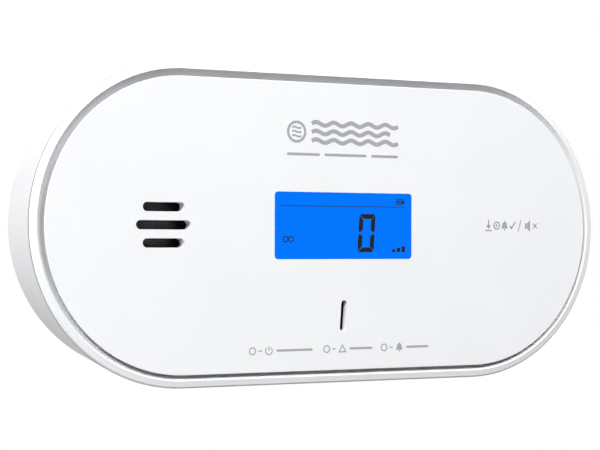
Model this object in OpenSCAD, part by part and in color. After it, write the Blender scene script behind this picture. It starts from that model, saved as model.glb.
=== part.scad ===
// Carbon monoxide alarm: a battery powered wall unit with a stadium-shaped case.
// Each piece is drawn lying on its back: X to the right, Y up the wall, Z out of the wall,
// with Z = 0 on the wall. hang() then stands it up, so that the finished part faces -Y.

/* [Case] */
// Length of the straight stretch between the two round ends
straight = 76.4; // [75:0.2:80]
// Radius of the round ends at the seam, where the case is widest
case_r = 35.5; // [35.3:0.1:36.5]
// Depth of the closed case, from the wall to the face
case_d = 24; // [24:0.1:25]
// Wall thickness of the rear housing
wall_t = 2; // [1.8:0.1:2.2]
// Inward lean of the side wall, in degrees
side_lean = 8.6; // [8:0.1:9]
// Radius of the rounded rear edge
rear_round = 5; // [4:0.1:5.5]
// Depth of the seam behind the face
seam_depth = 1.3; // [1.2:0.1:1.6]

/* [Face plate] */
// Radius of the face plate's round ends
face_r = 32.4; // [32:0.1:32.5]
// Thickness of the face plate
face_t = 2.5; // [2.4:0.1:2.6]
// Width of the open channel round the face plate
channel_w = 1.45; // [1.2:0.05:1.8]
// Fall of the channel towards the face plate, in degrees
channel_fall = 38; // [34:1:40]
// Travel of the face plate over the test switch
press_travel = 0.5; // [0.3:0.05:0.5]

/* [Display and openings] */
// Width of the display window
window_w = 36.3; // [34:0.1:37]
// Height of the display window
window_h = 15; // [14:0.1:15.4]
// Middle of the display window, right of the case's middle
window_x = 2.2; // [1:0.1:3]
// Middle of the sounder slots, left of the case's middle
sounder_x = -43.2; // [-44:0.1:-43]
// Height of a sounder slot
slot_h = 2; // [1.6:0.1:2.4]
// Distance between neighbouring sounder slots
slot_pitch = 3.9; // [3.6:0.1:4.4]
// Middle of the test mark and its switch
test_x = 49; // [47:0.5:50]
// Middle of the indicator slit, below the case's middle line
slit_y = -20.35; // [-21:0.05:-20]
// Lean of the indicator slit from the vertical, in degrees
slit_lean = 4; // [0:0.5:6]

/* [Batteries] */
// Radius of an AAA cell
cell_r = 5.25; // [5.15:0.05:5.25]
// Length of an AAA cell with its terminal
cell_l = 44.5; // [44:0.1:44.5]
// Distance between neighbouring cells
cell_pitch = 11; // [10.8:0.1:11]

/* [Wall mounting] */
// Distance between the two keyholes
keyhole_span = 109; // [109:0.5:110]
// Radius of a keyhole's round entry
keyhole_r = 4.25; // [4:0.05:4.4]
// Half the width of a keyhole's narrow slot
keyhole_slot_r = 2.1; // [1.8:0.1:2.3]
// Distance from the entry's middle to the slot's upper end
keyhole_rise = 8; // [6:0.5:8]

/* [Hidden] */
$fn = 96;
eps = 0.01;
fine = 24;

// Heights above the wall
seam_z = case_d - seam_depth;
plate_z = case_d - face_t;
rim_z = case_d - 0.5;
deck_top = plate_z - press_travel - 1.2;
deck_t = 1.5;
deck_z = deck_top - deck_t;
board_top = deck_z - 2.7;
board_t = 1.6;
board_z = board_top - board_t;

// Section of the case
lean = tan(side_lean);
land_w = 1;
rebate_z = deck_z - 0.5;
corner_r = case_r - (seam_z - rear_round) * lean - rear_round / cos(side_lean);
rim_in = face_r + channel_w;
channel_in = face_r - 0.9;
channel_z = rim_z - (rim_in - channel_in) * tan(channel_fall);
rim_round = 0.6;
seam_groove = 0.22;

// Face plate
edge_round = 0.12;
edge_land = 0.25;
undercut = 1.4;
plate_drop = 0.2;
pivot_x = -66;
pivot_r = 0.6;
pivot_z = plate_z - pivot_r - 0.02;
hook_x = 33;
hook_y = 27.5;
hook_w = 5;
hook_t = 1.4;
barb = 0.9;
slot_lengths = [10, 13.1, 10];
slit_w = 1.5;
slit_l = 7;
slit_x = 1.85;
slit_skin = 1.5;
pipe_w = 3;
pipe_h = 8.6;
pipe_top = case_d - slit_skin - 0.45;

// Display: the window is a plug that widens behind a thin land at the face
window_land = 0.25;
window_bevel = 0.8;
window_gap = 0.05;
window_round = 0.9;
window_z = case_d - window_land - window_bevel;
lcd_w = 39.6;
lcd_h = 18.2;
lcd_t = 1.8;
lcd_top = window_z - 0.45;
guide_t = 3.2;

// Board and test switch
board_r = 31;
board_left = -27;
board_screw_at = [[-22, 25], [-22, -25], [62, 0]];
switch_w = 6;
switch_h = 3.3;
plunger_r = 1.75;
plunger_l = 2.5;
plunger_top = plate_z - 2 * press_travel - 0.1;

// Gas sensor and sounder
sensor_at = [-17.5, 14];
sensor_r = 7.5;
sensor_l = 8.4;
sounder_r = 15;
sounder_l = 8.8;
disc_r = 13.6;
disc_z = deck_z - 5.2;

// Battery compartment
cavity_x0 = -6.5;
cavity_x1 = 43.5;
cavity_y = cell_pitch + cell_r + 0.35;
cavity_wall = 1.2;
cell_z = 7.3;
roof_z = cell_z + cell_r + 0.15;
roof_t = 1;
contact_t = 0.4;
nub_l = 0.8;
cavity_mid = (cavity_x0 + cavity_x1) / 2;
cell_end = cavity_x1 - contact_t - 0.05;
door_t = 1.7;
door_gap = 0.1;
door_y = cavity_y + 0.1;
door_clear = 0.3;
hinge_x = 45.2;
hinge_z = 1.7;
knuckle_r = 1.5;
hinge_pin_r = 0.9;
hinge_pin_l = 1.2;

// Wall mounting and case screws
keyhole_x = keyhole_span / 2;
pocket_r = keyhole_r + 0.5;
pocket_d = 4.6;
case_screw_x = 53.3;
case_screw_y = 19;
screw_head_r = 2.7;
screw_floor = 4;

// Label recess on the back
label_w = 30;
label_h = 28;
label_x = -31;
label_t = 0.12;

// --- Shared shapes -------------------------------------------------------------------

// Stands a piece drawn on its back up against the wall
module hang() {
    rotate([90, 0, 0]) children();
}

// Turns a half section, drawn as [distance from the middle line, height], into a solid that
// follows the stadium outline: two half turns and the straight stretch between them
module stadium_turn(section) {
    for (side = [-1, 1])
        translate([side * straight / 2, 0, 0])
            rotate([0, 0, -90 * side])
                rotate_extrude(angle = 180) polygon(section);
    translate([-straight / 2, 0, 0])
        rotate([90, 0, 90])
            linear_extrude(straight) {
                polygon(section);
                mirror([1, 0]) polygon(section);
            }
}

// A flat stadium slab of radius r from height z0 to z1
module stadium_slab(r, z0, z1) {
    stadium_turn([[0, z0], [r, z0], [r, z1], [0, z1]]);
}

// A block centred in X and Y, standing on height z0
module block(w, h, z0, z1) {
    translate([-w / 2, -h / 2, z0]) cube([w, h, z1 - z0]);
}

// A block with round vertical corners
module round_block(w, h, r, z0, z1) {
    block(w - 2 * r, h, z0, z1);
    block(w, h - 2 * r, z0, z1);
    for (x = [-1, 1], y = [-1, 1])
        translate([x * (w / 2 - r), y * (h / 2 - r), z0])
            cylinder(r = r, h = z1 - z0, $fn = 48);
}

// A block whose sides lean in by the same amount all round as it rises from z0 to z1
module bevelled_block(w, h, z0, z1, inset) {
    d = z1 - z0;
    intersection() {
        translate([0, h / 2, z0]) rotate([90, 0, 0])
            linear_extrude(h) polygon([[-w / 2, 0], [w / 2, 0], [w / 2 - inset, d], [inset - w / 2, d]]);
        translate([-w / 2, 0, z0]) rotate([90, 0, 90])
            linear_extrude(w) polygon([[-h / 2, 0], [h / 2, 0], [h / 2 - inset, d], [inset - h / 2, d]]);
    }
}

// A bar with round ends, along X
module long_slot(length, width, z0, z1) {
    block(length - width, width, z0, z1);
    for (x = [-1, 1])
        translate([x * (length - width) / 2, 0, z0])
            cylinder(d = width, h = z1 - z0, $fn = 48);
}

module disc(r, z0, z1) {
    translate([0, 0, z0]) cylinder(r = r, h = z1 - z0);
}

// Points on an arc about centre c, from angle a0 to a1
function arc(c, r, a0, a1, steps = 6) =
    [for (i = [0:steps]) let (a = a0 + (a1 - a0) * i / steps) c + r * [cos(a), sin(a)]];

// Distance of the side wall's outer surface from the middle line, at height z
function side_r(z) = case_r - (seam_z - z) * lean;

// The four places for a case screw
module at_case_screws() {
    for (x = [-1, 1], y = [-1, 1])
        translate([x * case_screw_x, y * case_screw_y, 0]) children();
}

module at_board_screws() {
    for (p = board_screw_at)
        translate([p[0], p[1], 0]) children();
}

module at_keyholes() {
    for (x = [-1, 1])
        translate([x * keyhole_x, 0, 0]) children();
}

// Slot shapes of the sounder grille, cut from z0 to z1
module grille_slots(z0, z1) {
    for (i = [0:2])
        translate([sounder_x, (1 - i) * slot_pitch - 0.1, 0])
            long_slot(slot_lengths[i], slot_h, z0, z1);
}

// --- Case ------------------------------------------------------------------------------

// Closed outer shape of the rear housing, with the hollow taken out
module housing_shell() {
    inner_r = rear_round - wall_t;
    side_w = wall_t / cos(side_lean);
    c = [corner_r, rear_round];
    stadium_turn(concat(
        [[0, 0]],
        arc(c, rear_round, -90, -side_lean, 8),
        [[side_r(seam_z - seam_groove), seam_z - seam_groove], [case_r - seam_groove, seam_z],
            [case_r - land_w, seam_z],
            [side_r(rebate_z) - land_w, rebate_z], [side_r(rebate_z) - side_w, rebate_z]],
        arc(c, inner_r, -side_lean, -90, 8),
        [[0, wall_t]]));
}

// Round entry and narrow slot of one keyhole
module keyhole_cut() {
    disc(keyhole_r, -1, wall_t + eps);
    translate([0, keyhole_rise / 2, 0]) block(2 * keyhole_slot_r, keyhole_rise, -1, wall_t + eps);
    translate([0, keyhole_rise, 0]) disc(keyhole_slot_r, -1, wall_t + eps);
}

// Upright slab with a round top and bottom, used for the screw-head pocket
module pocket_shape(r, z0, z1) {
    disc(r, z0, z1);
    translate([0, keyhole_rise / 2, 0]) block(2 * r, keyhole_rise, z0, z1);
    translate([0, keyhole_rise, 0]) disc(r, z0, z1);
}

module compartment_block() {
    x0 = cavity_x0 - cavity_wall;
    x1 = cavity_x1 + cavity_wall;
    y = cavity_y + cavity_wall;
    translate([x0, -y, wall_t / 2])
        cube([x1 - x0, 2 * y, roof_z + roof_t - wall_t / 2]);
    translate([cavity_x1, -y - 0.4, wall_t / 2])
        cube([hinge_x + 3 - cavity_x1, 2 * y + 0.8, 3.7]);
}

// Space for the cells, the door's seat and the hinge's recess
module compartment_cut() {
    door_w = door_y + door_clear;
    recess_r = knuckle_r + door_clear;
    translate([cavity_x0, -cavity_y, -1])
        cube([cavity_x1 - cavity_x0, 2 * cavity_y, roof_z + 1]);
    translate([cavity_x0, -door_w, -1])
        cube([hinge_x - cavity_x0, 2 * door_w, 1 + door_gap + door_t + door_gap]);
    translate([cavity_x1 - eps, -door_w, -1])
        cube([hinge_x + recess_r - cavity_x1, 2 * door_w, 1 + hinge_z]);
    translate([hinge_x, 0, hinge_z])
        rotate([90, 0, 0])
            cylinder(r = recess_r, h = 2 * door_w, center = true);
    translate([hinge_x, 0, hinge_z])
        rotate([90, 0, 0])
            cylinder(r = hinge_pin_r + 0.06, h = 2 * (door_y + hinge_pin_l + 0.1), center = true);
}

// Slots in the compartment's roof and in the board for the two supply tabs
module tab_slots(z0, z1) {
    for (end = [[cavity_x0 + contact_t / 2, -cell_pitch], [cavity_x1 - contact_t / 2, cell_pitch]])
        translate([end[0], end[1], 0]) block(1, 2.6, z0, z1);
}

module rear_housing() {
    color("whitesmoke") hang() difference() {
        union() {
            housing_shell();
            compartment_block();
            at_keyholes() pocket_shape(pocket_r + 1.2, wall_t / 2, wall_t + pocket_d + 1.2);
            at_case_screws() disc(4.2, wall_t / 2, screw_floor + 1.5);
        }
        compartment_cut();
        tab_slots(roof_z - eps, roof_z + roof_t + 1);
        at_keyholes() {
            keyhole_cut();
            pocket_shape(pocket_r, wall_t, wall_t + pocket_d);
        }
        at_case_screws() {
            disc(screw_head_r + 0.3, -1, screw_floor);
            disc(1.6, -1, screw_floor + 3);
        }
        // Finger scoop beside the door, and the catch groove for the door's tongue
        translate([cavity_x0 - 1, 0, -8]) sphere(r = 9);
        translate([cavity_x0 - 0.3, -4, 0.9]) cube([0.4, 8, 0.6]);
        translate([label_x, 0, 0]) round_block(label_w + 0.4, label_h + 0.4, 1.7, -1, 0.15);
    }
}

module front_bezel() {
    skirt_out = 0.1;
    color("white") hang() difference() {
        union() {
            stadium_turn(concat(
                [[0, deck_z], [side_r(deck_z) - land_w - skirt_out, deck_z],
                    [case_r - land_w - skirt_out, seam_z], [case_r - seam_groove, seam_z]],
                arc([case_r - rim_round, seam_z], rim_round, asin(seam_groove / rim_round), 90, 5),
                [[rim_in, rim_z], [channel_in, channel_z], [channel_in, deck_top],
                    [0, deck_top]]));
            // Rib that the face plate rocks on
            translate([pivot_x, 0, 0]) block(2 * pivot_r, 16, deck_top - eps, pivot_z);
            translate([pivot_x, 0, pivot_z])
                rotate([90, 0, 0]) cylinder(r = pivot_r, h = 16, center = true, $fn = fine);
            at_case_screws() disc(3, screw_floor + 1.6, deck_z + eps);
            at_board_screws() disc(2.6, board_top, deck_z + eps);
        }
        // Openings in the deck: display, test switch, indicator, sounder and the four hooks
        translate([window_x, 0, 0]) block(lcd_w + 3.4, lcd_h + 3.4, deck_z - 1, deck_top + 1);
        translate([test_x, 0, 0]) block(switch_w + 2, switch_w + 2, deck_z - 1, deck_top + 1);
        translate([slit_x, slit_y, 0])
            block(pipe_w + 0.2, pipe_h + 0.2, deck_z - 1, deck_top + 1);
        translate([sounder_x, 0, 0]) disc(7.2, deck_z - 1, deck_top + 1);
        for (x = [-1, 1], y = [-1, 1])
            translate([x * hook_x, y * (hook_y - 0.2), 0])
                block(hook_w + 1, hook_t + 1, deck_z - 1, deck_top + 1);
        at_case_screws() disc(1.5, screw_floor, deck_z - 2);
        at_board_screws() disc(1.05, board_top - 1, deck_top - 0.6);
    }
}

module hook() {
    block(hook_w, hook_t, deck_z - 1.3, plate_z + eps);
    translate([0, barb / 2, 0]) block(hook_w, hook_t + barb, deck_z - 1.3, deck_z - 0.05);
}

// The window's plug shape, grown all round by gap
module window_plug(gap, z1) {
    w = window_w + 2 * gap;
    h = window_h + 2 * gap;
    round_block(w, h, window_round, case_d - window_land - eps, z1);
    bevelled_block(w + 2 * window_bevel, h + 2 * window_bevel, window_z,
        case_d - window_land, window_bevel);
}

module face_plate() {
    color("white") hang() {
        difference() {
            translate([0, -plate_drop, 0]) stadium_turn(concat(
                [[0, plate_z], [face_r - undercut, plate_z],
                    [face_r - undercut, case_d - edge_land - undercut], [face_r, case_d - edge_land]],
                arc([face_r - edge_round, case_d - edge_round], edge_round, 0, 90, 4),
                [[0, case_d]]));
            translate([window_x, 0, 0]) {
                window_plug(window_gap, case_d + 1);
                block(lcd_w + 2.9, lcd_h + 2.3, plate_z - 1, window_z + eps);
            }
            grille_slots(plate_z - 1, case_d + 1);
            translate([slit_x, slit_y, 0])
                rotate([0, 0, 90 - slit_lean]) long_slot(slit_l, slit_w, plate_z - 1, case_d + 1);
            translate([slit_x, slit_y, 0])
                block(pipe_w + 0.6, pipe_h + 0.6, plate_z - 1, case_d - slit_skin);
        }
        for (x = [-1, 1])
            translate([x * hook_x, 0, 0]) {
                translate([0, hook_y, 0]) hook();
                mirror([0, 1, 0]) translate([0, hook_y, 0]) hook();
            }
        translate([test_x, 0, 0]) disc(2.2, plunger_top + 0.02, plate_z + eps);
    }
}

module display_window() {
    color([0.75, 0.85, 0.95, 0.5]) hang()
        translate([window_x, 0, 0]) window_plug(0, case_d - 0.02);
}

module insect_screen() {
    color("dimgray") hang() translate([sounder_x, 0, 0]) disc(9, deck_top + 0.02, deck_top + 0.32);
}

module light_pipe() {
    color([0.2, 0.2, 0.2, 0.8]) hang() translate([slit_x, slit_y, 0]) {
        block(pipe_w, pipe_h, deck_z - 0.9, pipe_top);
        block(pipe_w + 2, pipe_h + 2, deck_z - 0.9, deck_z - 0.05);
    }
}

// --- Display ----------------------------------------------------------------------------

module lcd_cell() {
    color("royalblue") hang() translate([window_x, 0, 0]) {
        block(lcd_w, lcd_h, lcd_top - lcd_t, lcd_top - lcd_t / 2);
        block(lcd_w, lcd_h - 1.6, lcd_top - lcd_t, lcd_top);
    }
}

module lcd_backlight() {
    color("deepskyblue") hang() translate([window_x, 0, 0])
        block(lcd_w - 2.2, lcd_h - 2.8, lcd_top - lcd_t - guide_t - 0.05, lcd_top - lcd_t - 0.05);
}

module lcd_frame() {
    guide_z = lcd_top - lcd_t - guide_t - 0.1;
    color("white") hang() translate([window_x, 0, 0]) {
        difference() {
            block(lcd_w, lcd_h - 0.6, guide_z - 0.8, lcd_top - lcd_t - 0.05);
            block(lcd_w - 2, lcd_h - 2.6, guide_z, lcd_top);
        }
        for (x = [-1, 1], y = [-1, 1])
            translate([x * (lcd_w / 2 - 1.5), y * (lcd_h / 2 - 1.8), 0])
                disc(1, board_top, guide_z - 0.8 + eps);
    }
}

module lcd_pins() {
    pins = 14;
    color("silver") hang() translate([window_x, 0, 0])
        for (i = [0:pins - 1], y = [-1, 1])
            translate([(i - (pins - 1) / 2) * 2.54, 0, 0]) {
                translate([0, y * (lcd_h / 2 + 0.22), 0])
                    block(0.4, 0.3, board_z + 0.1, lcd_top - lcd_t / 2);
                translate([0, y * (lcd_h / 2 - 0.05), 0])
                    block(0.4, 0.3, lcd_top - lcd_t - 0.32, lcd_top - lcd_t - 0.03);
            }
}

// --- Board and its parts ----------------------------------------------------------------

module main_board() {
    color("darkgreen") hang() difference() {
        stadium_slab(board_r, board_z, board_top);
        translate([board_left - 60, 0, 0]) block(120, 4 * board_r, board_z - 1, board_top + 1);
        at_case_screws() disc(3.5, board_z - 1, board_top + 1);
        at_board_screws() disc(1.2, board_z - 1, board_top + 1);
        tab_slots(board_z - 1, board_top + 1);
        translate([window_x, 0, 0])
            for (y = [-1, 1])
                translate([0, y * (lcd_h / 2 + 0.22), 0])
                    block(34.6, 0.7, board_z - 1, board_top + 1);
        for (i = [0:2])
            translate([sensor_at[0], sensor_at[1], 0])
                rotate([0, 0, 120 * i]) translate([4, 0, 0]) disc(0.6, board_z - 1, board_top + 1);
        for (y = [-5, 3])
            translate([board_left + 2, y, 0]) disc(0.55, board_z - 1, board_top + 1);
    }
}

module microcontroller() {
    package_w = 10;
    leads = 10;
    color("black") hang() translate([36, -16, 0]) {
        block(package_w, package_w, board_top + 0.15, board_top + 1.55);
        for (turn = [0:3], i = [0:leads - 1])
            rotate([0, 0, 90 * turn])
                translate([package_w / 2 + 0.5, (i - (leads - 1) / 2) * 0.8, 0])
                    block(1.2, 0.35, board_top + 0.02, board_top + 0.3);
    }
}

// Rows of chip resistors and capacitors on the front of the board
module chip_parts() {
    color("tan") hang()
        for (column = [0:5], row = [0:1])
            translate([28 + 3.6 * column, 14 + 5 * row + 1.5 * (column % 2), 0])
                block(2, 1.25, board_top + 0.02, board_top + 0.62);
}

module capacitors() {
    can_r = 3.15;
    can_l = 7.6;
    color("midnightblue") hang()
        for (y = [-9.5, -18])
            translate([-16.5, y, 0]) {
                disc(can_r, board_z - can_l - 0.1, board_z - 1.4);
                disc(can_r - 0.25, board_z - 1.5, board_z - 0.9);
                disc(can_r, board_z - 1, board_z - 0.05);
            }
}

module inductor() {
    color("dimgray") hang() translate([-22, -1.5, 0]) {
        disc(2.9, board_z - 1, board_z - 0.05);
        disc(1.9, board_z - 3.6, board_z - 0.9);
        disc(2.9, board_z - 4.4, board_z - 3.5);
    }
}

module status_leds() {
    color("khaki") hang()
        for (i = [-1:1])
            translate([slit_x, slit_y + 2.5 * i, 0]) {
                block(2, 1.25, board_top + 0.02, board_top + 0.4);
                block(1.2, 1.25, board_top + 0.39, board_top + 0.75);
            }
}

module test_switch() {
    color("gray") hang() translate([test_x, 0, 0]) {
        difference() {
            block(switch_w, switch_w, board_top + 0.02, board_top + switch_h);
            disc(plunger_r + 0.08, plunger_top - plunger_l - 0.7, deck_top + 1);
        }
        for (x = [-1, 1], y = [-1, 1])
            translate([x * 3.6, y * 2.25, 0]) block(1.2, 0.7, board_top + 0.02, board_top + 0.3);
    }
}

module test_plunger() {
    color("black") hang() translate([test_x, 0, 0]) {
        disc(plunger_r, plunger_top - plunger_l, plunger_top - 0.3);
        translate([0, 0, plunger_top - 0.3]) cylinder(r1 = plunger_r, r2 = plunger_r - 0.3, h = 0.3);
    }
}

// --- Gas sensor --------------------------------------------------------------------------

module co_sensor() {
    can_top = board_z - 0.1;
    color("silver") hang() translate([sensor_at[0], sensor_at[1], 0])
        rotate_extrude() polygon([[0, can_top], [sensor_r, can_top],
            [sensor_r, can_top - 1.2], [sensor_r - 0.4, can_top - 1.6],
            [sensor_r - 0.4, can_top - 2], [sensor_r, can_top - 2.4],
            [sensor_r, can_top - sensor_l + 0.5], [sensor_r - 0.5, can_top - sensor_l],
            [0, can_top - sensor_l]]);
}

module co_sensor_cap() {
    cap_top = board_z - 0.15 - sensor_l;
    color("white") hang() translate([sensor_at[0], sensor_at[1], 0]) difference() {
        disc(sensor_r - 0.6, cap_top - 1.8, cap_top);
        for (i = [0:5])
            rotate([0, 0, 60 * i]) translate([3.6, 0, 0]) disc(0.9, cap_top - 3, cap_top - 0.9);
        disc(1.2, cap_top - 3, cap_top - 0.9);
    }
}

module co_sensor_pins() {
    color("gold") hang() translate([sensor_at[0], sensor_at[1], 0])
        for (i = [0:2])
            rotate([0, 0, 120 * i]) translate([4, 0, 0])
                disc(0.5, board_z - 0.08, board_top + 0.9);
}

// --- Sounder ------------------------------------------------------------------------------

module sounder_housing() {
    top = deck_z - 0.05;
    color("black") hang() translate([sounder_x, 0, 0]) difference() {
        disc(sounder_r, top - sounder_l, top);
        disc(disc_r + 0.1, top - sounder_l - 1, disc_z + 0.4);
        disc(disc_r - 0.9, disc_z, top - 1);
        disc(4, disc_z, top + 1);
    }
}

module sounder_disc() {
    color("goldenrod") hang() translate([sounder_x, 0, 0]) disc(disc_r, disc_z, disc_z + 0.35);
}

module sounder_ceramic() {
    color("ivory") hang() translate([sounder_x, 0, 0]) disc(9.5, disc_z - 0.3, disc_z - 0.01);
}

module sounder_ring() {
    color("dimgray") hang() translate([sounder_x, 0, 0]) difference() {
        disc(disc_r + 0.05, disc_z - 1.6, disc_z - 0.02);
        disc(disc_r - 1.2, disc_z - 2.6, disc_z + 1);
    }
}

// A bent wire from the board down, along under the sounder and up to the point [x, y, top]
module spring_wire(x, y, top) {
    wire_r = 0.4;
    low = deck_z - sounder_l - 0.9;
    start = board_left + 2;
    translate([start, y, low]) cylinder(r = wire_r, h = board_top + 0.4 - low, $fn = fine);
    translate([x, y, low]) rotate([0, 90, 0]) cylinder(r = wire_r, h = start - x, $fn = fine);
    translate([x, y, low]) cylinder(r = wire_r, h = top - low, $fn = fine);
    for (end = [start, x])
        translate([end, y, low]) sphere(r = wire_r, $fn = fine);
}

module sounder_contacts() {
    color("gold") hang() {
        spring_wire(sounder_x + 6, 3, disc_z - 0.33);
        spring_wire(sounder_x + 9.7, -5, disc_z - 0.03);
    }
}

// --- Batteries ----------------------------------------------------------------------------

// One cell along X with its positive end towards +X, ending at x1
module cell(x1) {
    color("darkorange") translate([x1 - cell_l, 0, cell_z]) rotate([0, 90, 0])
        rotate_extrude() polygon([[0, 0], [cell_r - 0.4, 0], [cell_r, 0.4],
            [cell_r, cell_l - nub_l - 0.4], [cell_r - 0.4, cell_l - nub_l],
            [1.9, cell_l - nub_l], [1.9, cell_l], [0, cell_l]]);
}

module battery_1() {
    hang() translate([0, -cell_pitch, 0]) cell(cell_end);
}

module battery_2() {
    hang() translate([2 * cavity_mid, 0, 0]) rotate([0, 0, 180]) cell(cell_end);
}

module battery_3() {
    hang() translate([0, cell_pitch, 0]) cell(cell_end);
}

// Centre line of a conical spring: it climbs along Z while it turns
function coil_point(t, turns, r0, r1, length) =
    let (a = 360 * turns * t, r = r0 + (r1 - r0) * t)
    [r * cos(a), r * sin(a), length * t];

// Conical coil of round wire, swept as rings of points set square to the axis plane
module coil_spring(turns, r0, r1, length, wire_r) {
    steps = 16 * turns;
    sides = 6;
    rings = [for (i = [0:steps], k = [0:sides - 1])
        let (t = i / steps, p = coil_point(t, turns, r0, r1, length),
            a = 360 * turns * t, b = 360 * k / sides)
        p + wire_r * [cos(b) * cos(a), cos(b) * sin(a), sin(b)]];
    walls = [for (i = [0:steps - 1], k = [0:sides - 1])
        let (n = (k + 1) % sides)
        [i * sides + k, i * sides + n, (i + 1) * sides + n, (i + 1) * sides + k]];
    caps = [[for (k = [sides - 1:-1:0]) k], [for (k = [0:sides - 1]) steps * sides + k]];
    polyhedron(rings, concat(walls, caps));
}

module contact_springs() {
    wire_r = 0.35;
    gap = cavity_x1 - cavity_x0 - 2 * contact_t - cell_l - 0.15;
    color("silver") hang()
        for (i = [-1:1])
            translate([i == 0 ? cavity_x1 - contact_t : cavity_x0 + contact_t,
                i * cell_pitch, cell_z])
                rotate([0, i == 0 ? -90 : 90, 0]) translate([0, 0, wire_r + 0.02])
                    coil_spring(3.5, 3.7, 2.3, gap - 2 * wire_r - 0.04, wire_r);
}

// Stamped plates on the compartment's end walls; the outer two have a tab up to the board
module contact_plates() {
    plate_h = 9;
    tab_z = board_top + 0.5;
    left = cavity_x0 + contact_t / 2;
    right = cavity_x1 - contact_t / 2;
    color("silver") hang() {
        for (end = [[left, -cell_pitch], [right, cell_pitch]])
            translate([end[0], end[1], 0]) {
                block(contact_t - 0.04, 8.5, cell_z - plate_h / 2, cell_z + plate_h / 2);
                block(contact_t - 0.04, 2, cell_z, tab_z);
            }
        for (end = [[left, cell_pitch / 2], [right, -cell_pitch / 2]])
            translate([end[0], end[1], 0])
                block(contact_t - 0.04, 8.5 + cell_pitch, cell_z - plate_h / 2,
                    cell_z + plate_h / 2);
    }
}

// --- Battery door --------------------------------------------------------------------------

module battery_door() {
    left = cavity_x0 + 0.15;
    grip_lines = 5;
    color("whitesmoke") hang() {
        difference() {
            translate([left, -door_y, door_gap]) cube([hinge_x - left, 2 * door_y, door_t]);
            // Slots that free the tongue, and the moulded grip lines
            for (y = [-1, 1])
                translate([left + 4, y * 5, 0]) block(9, 0.8, -1, 4);
            for (i = [0:grip_lines - 1])
                translate([left + 2.5 + 1.8 * i, 0, 0]) block(0.7, 8, -1, door_gap + 0.35);
        }
        translate([left - 0.1, -3.5, 0.95]) cube([0.2, 7, 0.5]);
        translate([hinge_x, 0, hinge_z]) rotate([90, 0, 0]) {
            cylinder(r = knuckle_r, h = 2 * door_y, center = true);
            cylinder(r = hinge_pin_r, h = 2 * (door_y + hinge_pin_l), center = true);
        }
    }
}

// --- Fasteners and label --------------------------------------------------------------------

// Pan-head screw with a cross recess, head down at height z0
module screw(z0, head_r, head_t, shank_r, length) {
    difference() {
        disc(head_r, z0, z0 + head_t);
        for (turn = [0, 90])
            rotate([0, 0, turn]) block(head_r * 1.2, 0.6, z0 - 1, z0 + head_t * 0.6);
    }
    disc(shank_r, z0 + head_t - eps, z0 + head_t + length);
}

module case_screws() {
    color("silver") hang()
        at_case_screws() screw(screw_floor - 1.82, screw_head_r, 1.8, 1.4, 10);
}

module board_screws() {
    color("silver") hang()
        at_board_screws() screw(board_z - 1.52, 2.2, 1.5, 1, 4.6);
}

module rating_label() {
    color("gainsboro") hang()
        translate([label_x, 0, 0]) round_block(label_w, label_h, 1.5, 0.15 - label_t, 0.148);
}

// --- Nodes -----------------------------------------------------------------------------------

rear_housing();
front_bezel();
face_plate();
display_window();
insect_screen();
light_pipe();
lcd_cell();
lcd_backlight();
lcd_frame();
lcd_pins();
main_board();
microcontroller();
chip_parts();
capacitors();
inductor();
status_leds();
test_switch();
test_plunger();
co_sensor();
co_sensor_cap();
co_sensor_pins();
sounder_housing();
sounder_disc();
sounder_ceramic();
sounder_ring();
sounder_contacts();
battery_1();
battery_2();
battery_3();
contact_springs();
contact_plates();
battery_door();
case_screws();
board_screws();
rating_label();
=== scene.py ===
import math

import bmesh
import bpy
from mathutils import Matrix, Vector


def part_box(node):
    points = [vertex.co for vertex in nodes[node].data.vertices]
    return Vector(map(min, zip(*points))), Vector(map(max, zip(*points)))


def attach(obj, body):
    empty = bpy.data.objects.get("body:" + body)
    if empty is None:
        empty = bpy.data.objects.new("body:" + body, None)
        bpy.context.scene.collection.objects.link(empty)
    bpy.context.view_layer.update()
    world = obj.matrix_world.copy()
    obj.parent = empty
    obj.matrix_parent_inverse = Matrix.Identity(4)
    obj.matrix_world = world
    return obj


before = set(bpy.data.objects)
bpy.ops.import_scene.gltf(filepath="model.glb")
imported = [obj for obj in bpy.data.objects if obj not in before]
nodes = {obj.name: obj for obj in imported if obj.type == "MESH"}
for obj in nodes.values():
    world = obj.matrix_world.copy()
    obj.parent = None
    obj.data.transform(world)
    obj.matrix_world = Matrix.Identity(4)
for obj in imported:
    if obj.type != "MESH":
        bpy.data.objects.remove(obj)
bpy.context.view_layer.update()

MM = 0.001
BLACK, WHITE = (0, 0, 0), (1, 1, 1)
NOISE_LOW, NOISE_HIGH = 0.3, 0.7  # nearly all of a noise texture's values lie between these


# Materials ------------------------------------------------------------------------

class Shading:
    """A node tree with the short-cuts that the looks and the studio are built from."""

    def __init__(self, tree):
        self.tree = tree

    def node(self, kind, inputs=None, **settings):
        """A new node; each input is a plain value or the socket that feeds it."""
        made = self.tree.nodes.new("ShaderNode" + kind)
        for key, value in settings.items():
            setattr(made, key, value)
        for key, value in (inputs or {}).items():
            if isinstance(value, bpy.types.NodeSocket):
                self.tree.links.new(value, made.inputs[key])
            else:
                made.inputs[key].default_value = value
        return made

    def axis(self, vector, letter):
        """A vector's X, Y or Z."""
        return self.node("SeparateXYZ", {0: vector}).outputs[letter]

    def slope(self, value, start, end, low=0.0, high=1.0):
        """Low where the value is start and high where it is end, with an even slope between."""
        inputs = {"Value": value, "From Min": start, "From Max": end,
                  "To Min": low, "To Max": high}
        return self.node("MapRange", inputs).outputs[0]


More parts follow.
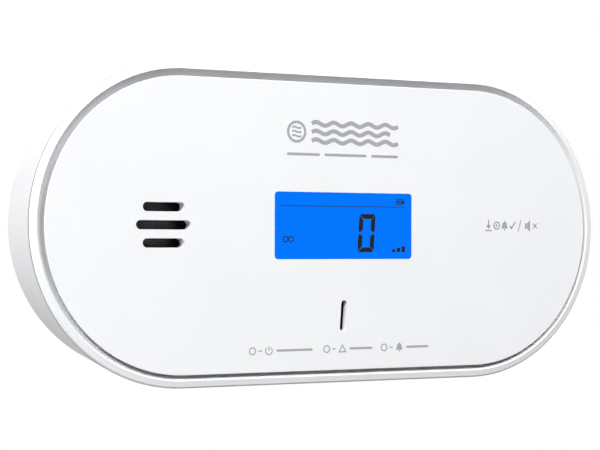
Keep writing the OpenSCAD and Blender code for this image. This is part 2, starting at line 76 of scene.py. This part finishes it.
class Look(Shading):
    """A material whose patterns have their sizes in metres."""

    def __init__(self, name, **sockets):
        self.material = bpy.data.materials.new(name)
        self.material.use_nodes = True
        super().__init__(self.material.node_tree)
        self.shader = self.tree.nodes["Principled BSDF"]
        for socket, value in sockets.items():
            self.shader.inputs[socket.replace("_", " ")].default_value = value
        coordinates = self.node("TexCoord").outputs
        self.place, self.normal = coordinates["Object"], coordinates["Normal"]

    def maths(self, operation, *values):
        """The result of a Math node."""
        return self.node("Math", dict(enumerate(values)), operation=operation).outputs[0]

    def noise(self, size, detail=3.0, stretch=(1, 1, 1)):
        """Cloudy noise with blobs of about this size, drawn out by stretch along each axis."""
        scale = [1 / value for value in stretch]
        drawn_out = self.node("Mapping", {"Vector": self.place, "Scale": scale}).outputs[0]
        inputs = {"Vector": drawn_out, "Scale": 1 / size, "Detail": detail}
        return self.node("TexNoise", inputs).outputs["Fac"]

    def ramp(self, value, stops, interpolation="LINEAR"):
        """Colours along a value; stops are (position, colour)."""
        made = self.node("ValToRGB", {"Fac": value})
        band = made.color_ramp
        band.interpolation = interpolation
        while len(band.elements) < len(stops):
            band.elements.new(0.5)
        for element, (position, colour) in zip(band.elements, stops):
            element.position = position
            element.color = (*colour, 1)
        return made.outputs["Color"]

    def tinted(self, colour, tint, size):
        """A colour that wanders by the share tint in cloudy patches of this size."""
        darker = [channel * (1 - tint) for channel in colour]
        lighter = [min(1, channel * (1 + tint)) for channel in colour]
        return self.ramp(self.noise(size), [(NOISE_LOW, darker), (NOISE_HIGH, lighter)])

    def spread(self, noise, low, high):
        """A noise, spread out to run from low to high."""
        return self.slope(noise, NOISE_LOW, NOISE_HIGH, low, high)

    def mix(self, share, first, second):
        """Two colours, each plain or a socket, with the given share of the second."""
        colours = [colour if isinstance(colour, bpy.types.NodeSocket) else (*colour, 1)
                   for colour in (first, second)]
        inputs = {0: share, 6: colours[0], 7: colours[1]}  # a Mix node's sockets for colours
        return self.node("Mix", inputs, data_type="RGBA").outputs[2]

    def use(self, colour, rough, height, depth):
        """Feeds the shader: its colour, its roughness, and a bump of this depth."""
        bump = self.node("Bump", {"Height": height, "Distance": depth}).outputs["Normal"]
        for socket, source in (("Base Color", colour), ("Roughness", rough), ("Normal", bump)):
            self.tree.links.new(source, self.shader.inputs[socket])
        return self.material


def moulded(name, colour, rough, grain, depth, tint=0.012, shaded_seam_y=None, **sockets):
    """Moulded plastic: a fine grain of this size and depth, slightly uneven in tone and gloss.

    With the seam's y given, a hair of painted shade lies along the seam there, standing in for the
    shadow in the seam groove.
    """
    look = Look(name, **sockets)
    tone = look.tinted(colour, tint, size=18 * MM)
    if shaded_seam_y is not None:
        away = look.maths("ABSOLUTE", look.maths("SUBTRACT", look.axis(look.place, "Y"), shaded_seam_y))
        # painted shade: the plastic turns dark grey within about a third of a millimetre of the
        # seam
        share = look.slope(away, 0.24 * MM, 0.36 * MM, low=0.85, high=0.0)
        tone = look.mix(share, tone, (0.10, 0.10, 0.10))
    gloss = look.spread(look.noise(2.5 * MM), rough - 0.05, rough + 0.05)
    return look.use(tone, gloss, look.noise(grain, detail=2.0), depth)


def metal(name, colour, rough, stretch):
    """Bare metal with fine rolling or turning marks drawn out along the stretch."""
    look = Look(name, Metallic=1.0)
    marks = look.noise(0.12 * MM, stretch=stretch)
    return look.use(colour=look.tinted(colour, tint=0.08, size=3 * MM),
                    rough=look.spread(marks, rough - 0.08, rough + 0.1),
                    height=marks, depth=0.004 * MM)


def board_laminate():
    """Green solder mask with tracks under it, and tinned holes."""
    look = Look("board_laminate", Coat_Weight=0.3, Coat_Roughness=0.15)
    track_pitch, hole_pitch = 9 * MM, 3.2 * MM
    upright = look.node("Mapping", {"Vector": look.place,
                                    "Rotation": (math.radians(90), 0, 0)}).outputs[0]
    tracks = look.node("TexBrick", {
        "Vector": upright, "Scale": 1 / track_pitch, "Mortar Size": 0.035, "Mortar Smooth": 0.1,
        "Color1": (0.008, 0.10, 0.035, 1), "Color2": (0.010, 0.13, 0.045, 1),
        "Mortar": (0.03, 0.23, 0.08, 1)}, offset=0.37, squash=0.6)
    holes = look.node("TexVoronoi", {"Vector": upright, "Scale": 1 / hole_pitch})
    pads = look.ramp(holes.outputs["Distance"], [(0.10, WHITE), (0.13, BLACK)])
    tin = (0.55, 0.54, 0.50)
    return look.use(colour=look.mix(pads, tracks.outputs["Color"], tin),
                    rough=look.spread(look.noise(1.5 * MM), 0.32, 0.45),
                    height=tracks.outputs["Fac"], depth=0.02 * MM)


def woven_mesh(middle):
    """Black insect mesh: threads a third of a millimetre apart, painted pale round its middle as a
    pool of light falling through the slots.
    """
    look = Look("screen_mesh")
    wave_size = 1.05 * MM  # a wave texture repeats every 0.314 of its size
    threads = [look.node("TexWave", {"Vector": look.place, "Scale": 1 / wave_size},
                         bands_direction=letter).outputs["Fac"] for letter in ("X", "Z")]
    weave = look.maths("MAXIMUM", *threads)
    # painted light: the threads turn grey within a few millimetres of the middle and black further
    # out
    away = look.node("VectorMath", {0: look.place, 1: middle}, operation="DISTANCE")
    light_pool = look.slope(away.outputs["Value"], 3.5 * MM, 6.5 * MM, low=1, high=0)
    gap, lit_grey = (0.001, 0.001, 0.001), (0.17, 0.17, 0.175)
    thread = look.ramp(light_pool, [(0, gap), (1, lit_grey)])
    crossing = look.ramp(weave, [(0.35, BLACK), (0.8, WHITE)])
    return look.use(colour=look.mix(crossing, gap, thread),
                    rough=look.spread(look.noise(1 * MM), 0.5, 0.7),
                    height=weave, depth=0.1 * MM)


def cell_jacket(name, lo, hi, plus):
    """A dry cell: a dark jacket, a pale band at its plus end, and bare steel on its end faces.

    It lies along x from lo to hi, and its plus end points the way of plus.
    """
    look = Look(name, Coat_Weight=0.4, Coat_Roughness=0.12)
    start, end = (lo.x, hi.x) if plus > 0 else (hi.x, lo.x)
    along = look.slope(look.axis(look.place, "X"), start, end)
    jacket, stripe, band = (0.02, 0.05, 0.09), (0.75, 0.40, 0.03), (0.55, 0.57, 0.60)
    sleeve = look.ramp(along, [(0.0, jacket), (0.70, stripe), (0.725, band)], "CONSTANT")
    facing_x = look.maths("ABSOLUTE", look.axis(look.normal, "X"))
    end_faces = look.ramp(facing_x, [(0.85, BLACK), (0.95, WHITE)])
    nub = look.ramp(along, [(0.0, BLACK), (0.968, WHITE)], "CONSTANT")
    bare = look.mix(nub, end_faces, WHITE)
    look.tree.links.new(bare, look.shader.inputs["Metallic"])
    scuffs = look.noise(0.5 * MM, stretch=(6, 1, 1))
    return look.use(colour=look.mix(bare, sleeve, (0.62, 0.62, 0.63)),
                    rough=look.spread(scuffs, 0.22, 0.38),
                    height=scuffs, depth=0.005 * MM)


def glowing(name, colour, strength):
    """Glass lit from behind: its own light, with a faint sheen on the surface."""
    look = Look(name, Emission_Color=(*colour, 1), Emission_Strength=strength, IOR=1.15)
    dim = [channel * 0.01 for channel in colour]
    return look.use(colour=look.tinted(dim, tint=0.1, size=6 * MM),
                    rough=look.spread(look.noise(4 * MM), 0.25, 0.35),
                    height=look.noise(0.5 * MM), depth=0.0005 * MM)


def clear(name, colour, alpha, rough):
    """Clear plastic that shows only as a faint gloss over what lies behind it."""
    look = Look(name, Alpha=alpha, IOR=1.49)
    return look.use(colour=look.tinted(colour, tint=0.1, size=8 * MM),
                    rough=look.spread(look.noise(3 * MM), rough, rough + 0.05),
                    height=look.noise(6 * MM), depth=0.001 * MM)


def printed(name, colour):
    """Matt ink with the faint mottle of pad printing."""
    look = Look(name)
    return look.use(colour=look.tinted(colour, tint=0.04, size=0.8 * MM),
                    rough=look.spread(look.noise(0.5 * MM), 0.45, 0.6),
                    height=look.noise(0.2 * MM), depth=0.002 * MM)


def label_film():
    """Matt film with a faint paper-like fleck."""
    look = Look("label_film")
    return look.use(colour=look.tinted((0.60, 0.60, 0.59), tint=0.04, size=1.2 * MM),
                    rough=look.spread(look.noise(0.8 * MM), 0.5, 0.65),
                    height=look.noise(0.15 * MM), depth=0.003 * MM)


cool_white = (0.735, 0.744, 0.758)
lit_blue = (0.0003, 0.184, 0.982)
case_finish = (cool_white, 0.40, 0.35 * MM, 0.0035 * MM)
case_plastic = moulded("case_plastic", *case_finish)
housing_plastic = moulded("housing_plastic", *case_finish, shaded_seam_y=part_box("rear_housing")[0].y)
face_plastic = moulded("face_plastic", cool_white, 0.45, 0.30 * MM, 0.0025 * MM)
door_plastic = moulded("door_plastic", (0.77, 0.78, 0.79), 0.55, 0.45 * MM, 0.010 * MM)
white_plastic = moulded("white_plastic", (0.72, 0.72, 0.69), 0.5, 0.4 * MM, 0.006 * MM)
black_plastic = moulded("black_plastic", (0.012, 0.012, 0.013), 0.5, 0.3 * MM, 0.008 * MM, 0.2)
smoked = moulded("smoked_acrylic", (0.008, 0.008, 0.009), 0.2, 0.6 * MM, 0.002 * MM, 0.15)
ferrite = moulded("ferrite", (0.025, 0.024, 0.026), 0.4, 0.5 * MM, 0.02 * MM, 0.25)
ceramic = moulded("ceramic", (0.66, 0.62, 0.52), 0.6, 0.15 * MM, 0.004 * MM, 0.05)
chip_ceramic = moulded("chip_ceramic", (0.30, 0.22, 0.13), 0.5, 0.2 * MM, 0.004 * MM, 0.2)
led_lens = moulded("led_lens", (0.72, 0.66, 0.36), 0.2, 0.5 * MM, 0.002 * MM, 0.1, Coat_Weight=0.6)
steel = metal("steel", (0.60, 0.60, 0.61), 0.30, (4, 1, 4))
tinned = metal("tinned", (0.70, 0.69, 0.67), 0.28, (8, 1, 1))
gold_plate = metal("gold_plate", (0.83, 0.60, 0.25), 0.22, (1, 8, 1))
brass = metal("brass", (0.72, 0.52, 0.20), 0.32, (10, 1, 1))
ink = printed("print_ink", (0.325, 0.33, 0.34))
label_ink = printed("label_ink", (0.05, 0.05, 0.055))
lcd_ink = printed("lcd_ink", (0.007, 0.005, 0.003))
rule_ink = printed("lcd_rule_ink", (0.001, 0.045, 0.25))

screen_lo, screen_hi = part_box("insect_screen")
# Middle of the painted pool of light on the insect screen, a little left of the screen's own middle
light_pool_middle = (screen_lo + screen_hi) / 2 - Vector((1.5 * MM, 0, 0))

looks = {
    housing_plastic: ["rear_housing"],
    case_plastic: ["front_bezel"],
    face_plastic: ["face_plate"],
    clear("window_acrylic", (0.0, 0.002, 0.01), alpha=0.03, rough=0.04): ["display_window"],
    woven_mesh(light_pool_middle): ["insect_screen"],
    smoked: ["light_pipe"],
    glowing("lcd_glass", lit_blue, strength=1.06): ["lcd_cell"],
    glowing("lcd_light", lit_blue, strength=1.2): ["lcd_backlight"],
    white_plastic: ["lcd_frame", "co_sensor_cap"],
    tinned: ["lcd_pins", "contact_springs", "contact_plates"],
    board_laminate(): ["main_board"],
    black_plastic: ["microcontroller", "capacitors", "test_plunger",
                    "sounder_housing", "sounder_ring"],
    chip_ceramic: ["chip_parts"],
    ferrite: ["inductor"],
    led_lens: ["status_leds"],
    steel: ["test_switch", "co_sensor", "case_screws", "board_screws"],
    gold_plate: ["co_sensor_pins", "sounder_contacts"],
    brass: ["sounder_disc"],
    ceramic: ["sounder_ceramic"],
    door_plastic: ["battery_door"],
    label_film(): ["rating_label"],
}
for cell, plus in (("battery_1", 1), ("battery_2", -1), ("battery_3", 1)):
    looks[cell_jacket(cell + "_jacket", *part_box(cell), plus)] = [cell]
for material, names in looks.items():
    for name in names:
        nodes[name].material_slots[0].material = material


# Flat shapes, in millimetres: x to the right and z up, as seen from the front -----

def rectangle(x0, z0, x1, z1):
    return [(x0, z0), (x1, z0), (x1, z1), (x0, z1)]


def arc(x, z, r, start, end, steps):
    """Points along an arc, with its angles in degrees from +x."""
    turns = [math.radians(start + (end - start) * i / steps) for i in range(steps + 1)]
    return [(x + r * math.cos(turn), z + r * math.sin(turn)) for turn in turns]


def circle(x, z, r, steps=28):
    return arc(x, z, r, 0, 360, steps)[:-1]


def ring(x, z, r, width):
    """A ring whose outer radius is r, as (outline, hole)."""
    return circle(x, z, r), circle(x, z, r - width)


def triangle(x, z, r):
    """A triangle that points up, with its corners r from its middle."""
    return arc(x, z, r, 90, 450, 3)[:-1]


def pill(x0, x1, z, width):
    """A level bar with round ends."""
    r = width / 2
    return arc(x1 - r, z, r, -90, 90, 8) + arc(x0 + r, z, r, 90, 270, 8)


def stroke(path, width):
    """The outline of a line of the given width along a path."""
    sides = [[], []]
    for i, (x, z) in enumerate(path):
        x0, z0 = path[max(i - 1, 0)]
        x1, z1 = path[min(i + 1, len(path) - 1)]
        length = math.hypot(x1 - x0, z1 - z0)
        dx, dz = (z0 - z1) / length * width / 2, (x1 - x0) / length * width / 2
        sides[0].append((x + dx, z + dz))
        sides[1].append((x - dx, z - dz))
    return sides[0] + sides[1][::-1]


def wave(x0, x1, z, height, length, width):
    """A line of the given width that runs level in soft waves of this height and length."""
    steps_per_wave = 14
    count = max(8, round((x1 - x0) / length * steps_per_wave))
    xs = [x0 + (x1 - x0) * i / count for i in range(count + 1)]
    return stroke([(x, z + height * math.sin((x - x0) / length * math.tau)) for x in xs], width)


def join(mesh, first, second):
    """Faces between two closed loops that have as many points each."""
    for i in range(len(first)):
        j = (i + 1) % len(first)
        mesh.faces.new((first[i], first[j], second[j], second[i]))


def flat_piece(name, outlines, back, front, material, body):
    """Thin solids between the planes y = back and y = front, one for each outline.

    An outline with a hole in it is a pair, (outline, hole), with as many points in each.
    """
    mesh = bmesh.new()
    for outline in outlines:
        loops = outline if isinstance(outline, tuple) else (outline,)
        rims = [[[mesh.verts.new((x * MM, y, z * MM)) for x, z in loop] for loop in loops]
                for y in (back, front)]
        for back_loop, front_loop in zip(*rims):
            join(mesh, back_loop, front_loop)
        for rim in rims:
            if len(rim) == 1:
                mesh.faces.new(rim[0])
            else:
                join(mesh, *rim)
    bmesh.ops.recalc_face_normals(mesh, faces=mesh.faces)
    data = bpy.data.meshes.new(name)
    mesh.to_mesh(data)
    mesh.free()
    data.materials.append(material)
    piece = bpy.data.objects.new(name, data)
    bpy.context.scene.collection.objects.link(piece)
    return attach(piece, body)


# Signs, each drawn round (x, z) ---------------------------------------------------

fine_line = 0.26


def bell(x, z, size):
    """A bell: its dome, its clapper and its knob."""
    dome = arc(x, z + 0.10 * size, 0.30 * size, 0, 180, 12)
    lip_z = z - 0.30 * size
    body = [(x + 0.42 * size, lip_z)] + dome + [(x - 0.42 * size, lip_z)]
    clapper = circle(x, z - 0.42 * size, 0.09 * size, 12)
    knob = circle(x, z + 0.43 * size, 0.08 * size, 12)
    return [body, clapper, knob]


def power_sign(x, z, size):
    """An open ring with an upright bar in its gap."""
    half = fine_line / 2
    return [stroke(arc(x, z, 0.40 * size, 125, 415, 20), fine_line),
            rectangle(x - half, z, x + half, z + size / 2)]


def fault_sign(x, z, size):
    """A hollow triangle."""
    middle = z - 0.1 * size
    return [(triangle(x, middle, 0.62 * size), triangle(x, middle, 0.34 * size))]


# Printing on the face plate -------------------------------------------------------

ink_thickness = 0.02 * MM
face_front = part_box("face_plate")[0].y
ink_front = face_front - ink_thickness


def print_on_face(name, outlines):
    flat_piece(name, outlines, face_front, ink_front, ink, "face")


# Mark: a ring of moving air, and three long waves that blow from it
mark_left, mark_right, mark_z = -12.9, 16.5, 21.0
ring_r = 2.5
ring_x = mark_left + ring_r
waves_left = mark_left + 2 * ring_r + 1.4
mark = [ring(ring_x, mark_z, ring_r, 0.6)]
for row in (-1, 0, 1):
    waves_right = mark_right - (2.2 if row == 0 else 0)
    mark.append(wave(ring_x - 1.2, ring_x + 1.2, mark_z + 0.95 * row,
                     height=0.16, length=2.4, width=0.42))
    mark.append(wave(waves_left, waves_right, mark_z + 1.95 * row,
                     height=0.38, length=4.6, width=0.95))
print_on_face("print_mark", mark)

# Rules below the mark, in place of a line of words
rule_z, rule_line = 16.0, 0.6
print_on_face("print_rules", [pill(x0, x1, rule_z, rule_line) for x0, x1 in
                              ((mark_left, -4.4), (-3.2, 8.0), (9.2, mark_right))])

# Test and hush: press, lamp, bell and tick, then a stroke, a loudspeaker and a cross
test_low, test_high, test_line = -1.0, 1.75, 0.34
test_mid = (test_low + test_high) / 2
press_x, lamp_x, bell_x, tick_x = 42.1, 44.5, 46.8, 49.1
slash_x, speaker_x, cross_x = 51.2, 53.6, 55.8

key = rectangle(press_x - 0.9, test_low, press_x + 0.9, test_low + test_line)
shaft = rectangle(press_x - test_line / 2, test_mid - 0.1, press_x + test_line / 2, test_high)
arrowhead = [(press_x - 0.75, test_mid + 0.05), (press_x, test_mid - 0.85),
             (press_x + 0.75, test_mid + 0.05)]
lamp = [ring(lamp_x, test_mid, 1.0, test_line), circle(lamp_x, test_mid, 0.3)]
tick = [stroke([(tick_x - 0.8, test_mid), (tick_x - 0.3, test_mid - 0.65)], test_line),
        stroke([(tick_x - 0.38, test_mid - 0.72), (tick_x + 0.9, test_mid + 0.95)], test_line)]
slash = stroke([(slash_x - 0.45, test_low), (slash_x + 0.45, test_high)], fine_line)
coil_half = 0.62
coil = rectangle(speaker_x - 0.8, test_mid - coil_half, speaker_x - 0.3, test_mid + coil_half)
horn = [(speaker_x - 0.22, test_mid - coil_half), (speaker_x + 0.7, test_low),
        (speaker_x + 0.7, test_high), (speaker_x - 0.22, test_mid + coil_half)]
cross_reach, cross_line = 0.6, 0.24
cross = [stroke([(cross_x - cross_reach, test_mid - cross_reach * way),
                 (cross_x + cross_reach, test_mid + cross_reach * way)], cross_line)
         for way in (-1, 1)]
print_on_face("print_test", [key, shaft, arrowhead, *lamp, *bell(bell_x, test_mid, 2.3),
                             *tick, slash, coil, horn, *cross])

# Lamp legend: for power, fault and alarm a lamp, a dash, a sign and a rule
legend_z, legend_size = -27.8, 2.1
legend = []
for left, right, sign in ((-22.6, -6.2, power_sign), (-3.6, 9.6, fault_sign), (11.7, 24.9, bell)):
    sign_x = left + 5.2
    legend.append(ring(left + legend_size / 2, legend_z, 0.9, 0.28))
    legend.append(pill(left + 2.5, left + 3.5, legend_z, fine_line))
    legend += sign(sign_x, legend_z, legend_size)
    legend.append(pill(sign_x + 1.9, right, legend_z, 0.5))
print_on_face("print_legend", legend)


# Marks on the display -------------------------------------------------------------

lcd_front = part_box("lcd_cell")[0].y
lcd_ink_front = lcd_front - ink_thickness
digit_x, digit_z, digit_w, digit_h = 8.93, -1.6, 4.35, 8.75
digit_line, digit_gap, digit_lean = 1.12, 0.18, 0.065


def lean(points):
    """The digit's slight slant."""
    return [(x + (z - digit_z) * digit_lean, z) for x, z in points]


def digit_bar(top):
    """The level bar along the digit's top (1) or foot (-1), with the longer mitre at its left."""
    edge = digit_z + top * digit_h / 2
    half = digit_w / 2 - digit_gap
    chamfer = 0.3
    points = [(-half + chamfer, 0), (half - chamfer, 0), (half, -chamfer),
              (half - digit_line + chamfer, -digit_line), (digit_line - half, -digit_line),
              (-half, -chamfer)]
    return lean([(digit_x + x, edge + top * z) for x, z in points])


def digit_upright(side, top):
    """One of the four uprights: side is -1 (left) or 1, and top is -1 (lower half) or 1."""
    outer = digit_w / 2
    inner = outer - digit_line
    reach = digit_h / 2 - digit_gap
    points = [(outer, reach - 0.45), (outer - 0.25, reach - 0.30),
              (inner, reach - digit_line - 0.05), (inner, 0.75),
              (outer - 0.45, digit_gap), (outer, 0.45)]
    return lean([(digit_x + side * x, digit_z + top * z) for x, z in points])


digit = [digit_bar(1), digit_bar(-1)]
digit += [digit_upright(side, top) for side in (-1, 1) for top in (-1, 1)]

battery_x, battery_z = 18.05, 5.6
battery_shell = (
    rectangle(battery_x - 1.05, battery_z - 0.68, battery_x + 0.75, battery_z + 0.68),
    rectangle(battery_x - 0.85, battery_z - 0.48, battery_x + 0.55, battery_z + 0.48))
battery_tip = rectangle(battery_x + 0.75, battery_z - 0.3, battery_x + 1.2, battery_z + 0.3)
battery_charge = [rectangle(battery_x - 0.65 + 0.42 * i, battery_z - 0.28,
                            battery_x - 0.36 + 0.42 * i, battery_z + 0.28) for i in range(3)]

gas = [ring(x, -3.05, 0.74, 0.24) for x in (-12.4, -11.0)]
level_pitch, level_rise = 1.3, 0.34
level = [rectangle(15.9 + level_pitch * i, -5.95, 16.8 + level_pitch * i, -5.3 + level_rise * i)
         for i in range(3)]

flat_piece("display_marks", [*digit, battery_shell, battery_tip, *battery_charge, *gas, *level],
           lcd_front, lcd_ink_front, lcd_ink, "case")
flat_piece("display_rule", [rectangle(x0=-13.8, z0=4.34, x1=19.35, z1=4.56)],
           lcd_front, lcd_ink_front, rule_ink, "case")


# Label on the back: plain rules and three rings -----------------------------------

label_lo, label_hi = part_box("rating_label")
label_back = label_hi.y
label_ink_back = label_back + 0.015 * MM
label_side, label_end, label_pitch = 2.5, 4, 2.6
label_left, label_right = label_lo.x / MM + label_side, label_hi.x / MM - label_side
label_rules = []
for row, share in enumerate((0.62, 1.0, 0.9, 0.96, 0.55, 1.0, 0.74)):
    start = label_right - share * (label_right - label_left)
    z = label_hi.z / MM - label_end - label_pitch * row
    label_rules.append(pill(start, label_right, z, 0.9 if row == 0 else 0.42))
for i in range(3):
    x = label_left + 1.2 + 4.2 * i
    label_rules.append(ring(x, label_lo.z / MM + label_end, 1.5, 0.3))
flat_piece("label_rules", label_rules, label_back, label_ink_back, label_ink, "case")


# Camera, floor and light ----------------------------------------------------------

camera = bpy.data.objects.new("camera", bpy.data.cameras.new("camera"))
camera.location = (-0.21635, -0.38453, -0.00524)
camera.rotation_euler = [math.radians(turn) for turn in (90.7374, -0.0742, -29.8435)]
camera.data.lens = 111.5
camera.data.clip_start = 0.01
bpy.context.scene.collection.objects.link(camera)
bpy.context.scene.camera = camera
bpy.context.scene.view_settings.view_transform = "Standard"

floor_z, floor_half = -0.30, 0.6
floor_corners = rectangle(-floor_half, -floor_half, floor_half, floor_half)
floor_mesh = bpy.data.meshes.new("floor")
floor_mesh.from_pydata([(x, y, floor_z) for x, y in floor_corners], [], [(0, 1, 2, 3)])
floor_mesh.materials.append(moulded("floor_plaster", (0.80, 0.80, 0.80), 0.7, 2 * MM, 0.02 * MM))
floor = bpy.data.objects.new("floor", floor_mesh)
floor.visible_diffuse = False
floor.visible_glossy = False
floor.visible_shadow = False
bpy.context.scene.collection.objects.link(floor)

# The camera sees plain white; the object is lit by a glow that is stronger from behind it
world = bpy.data.worlds.new("studio")
world.use_nodes = True
bpy.context.scene.world = world
studio = Shading(world.node_tree)
backdrop = studio.tree.nodes["Background"]
backdrop.inputs["Color"].default_value = (*WHITE, 1)
front_glow, back_glow, glow_blend = 0.14, 0.50, 0.1
towards_back = studio.axis(studio.node("TexCoord").outputs["Generated"], "Y")
strength = studio.slope(towards_back, -glow_blend, glow_blend, front_glow, back_glow)
glow = studio.node("Background", {"Strength": strength})
seen = studio.node("LightPath").outputs["Is Camera Ray"]
choice = studio.node("MixShader", {0: seen, 1: glow.outputs[0], 2: backdrop.outputs[0]})
studio.tree.links.new(choice.outputs[0], studio.tree.nodes["World Output"].inputs["Surface"])


def soft_light(name, place, size, power):
    """A square soft box that faces the object."""
    lamp = bpy.data.lights.new(name, "AREA")
    lamp.size = size
    lamp.energy = power
    light = bpy.data.objects.new(name, lamp)
    light.location = place
    light.rotation_euler = Vector(place).to_track_quat("Z", "Y").to_euler()
    bpy.context.scene.collection.objects.link(light)


soft_light("key", (-0.85, -0.75, 0.85), size=0.6, power=30.5)
soft_light("fill", (0.50, -0.96, 1.18), size=0.6, power=17)
soft_light("under", (-0.55, 0.08, -0.65), size=0.5, power=3.2)
soft_light("back", (0.35, 1.20, 0.62), size=0.5, power=12)
